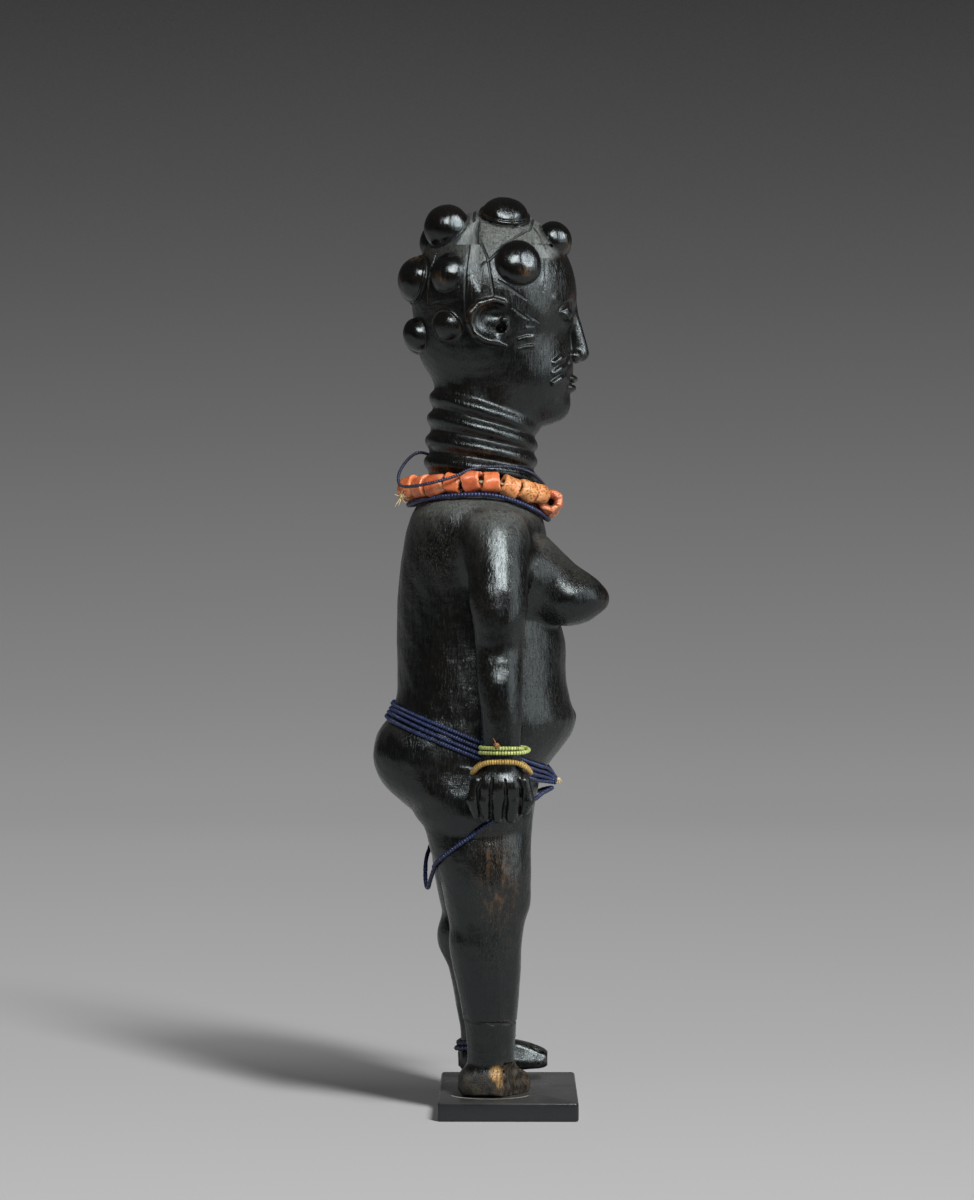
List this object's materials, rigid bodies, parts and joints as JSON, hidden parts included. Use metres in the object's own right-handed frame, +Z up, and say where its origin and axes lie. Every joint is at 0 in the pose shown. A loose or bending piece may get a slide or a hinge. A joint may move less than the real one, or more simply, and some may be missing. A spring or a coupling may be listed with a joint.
{
  "type": "female figurine",
  "caption": "Carved dark wooden figure of a standing woman with knobbed hair and a ringed neck, dressed with bead strings, on a thin metal base.",
  "frame": {"origin": "middle of the base plate's underside", "axes": "+X the way the figure faces, +Y her left, +Z up"},
  "size_m": [0.0721, 0.0836, 0.2807],
  "materials": {
    "dark_wood": "near-black carved hardwood with a glossy handled patina",
    "base_paint": "satin dark grey paint",
    "coral": "worn orange tube beads, softly glossy",
    "blue_glass": "opaque blue seed beads",
    "navy_glass": "opaque dark blue seed beads",
    "green_glass": "opaque pale green seed beads",
    "yellow_glass": "opaque ochre seed beads",
    "thread": "undyed plant-fibre thread"
  },
  "bodies": {
    "root": {"carved_figure": "dark_wood", "base_plate": "base_paint", "coral_bead_01": "coral", "coral_bead_02": "coral", "coral_bead_03": "coral", "coral_bead_04": "coral", "coral_bead_05": "coral", "coral_bead_06": "coral", "coral_bead_07": "coral", "coral_bead_08": "coral", "coral_bead_09": "coral", "coral_bead_10": "coral", "coral_bead_11": "coral", "coral_bead_12": "coral", "coral_bead_13": "coral", "coral_bead_14": "coral", "coral_bead_15": "coral", "coral_bead_16": "coral", "coral_bead_17": "coral", "coral_bead_18": "coral", "coral_bead_19": "coral", "coral_bead_20": "coral", "coral_bead_21": "coral", "coral_bead_22": "coral", "coral_bead_23": "coral", "coral_bead_24": "coral", "necklace_thread": "thread", "necklace_knot": "thread", "neck_strand_upper": "navy_glass", "neck_strand_lower": "blue_glass", "waist_strand_1": "blue_glass", "waist_strand_2": "blue_glass", "waist_strand_3": "blue_glass", "waist_strand_4": "blue_glass", "hip_strand": "blue_glass", "waist_knot": "thread", "green_bracelet": "green_glass", "bracelet_knot": "thread", "yellow_bracelet": "yellow_glass", "anklet_strand_1": "navy_glass", "anklet_strand_2": "navy_glass"}
  },
  "joints": []
}
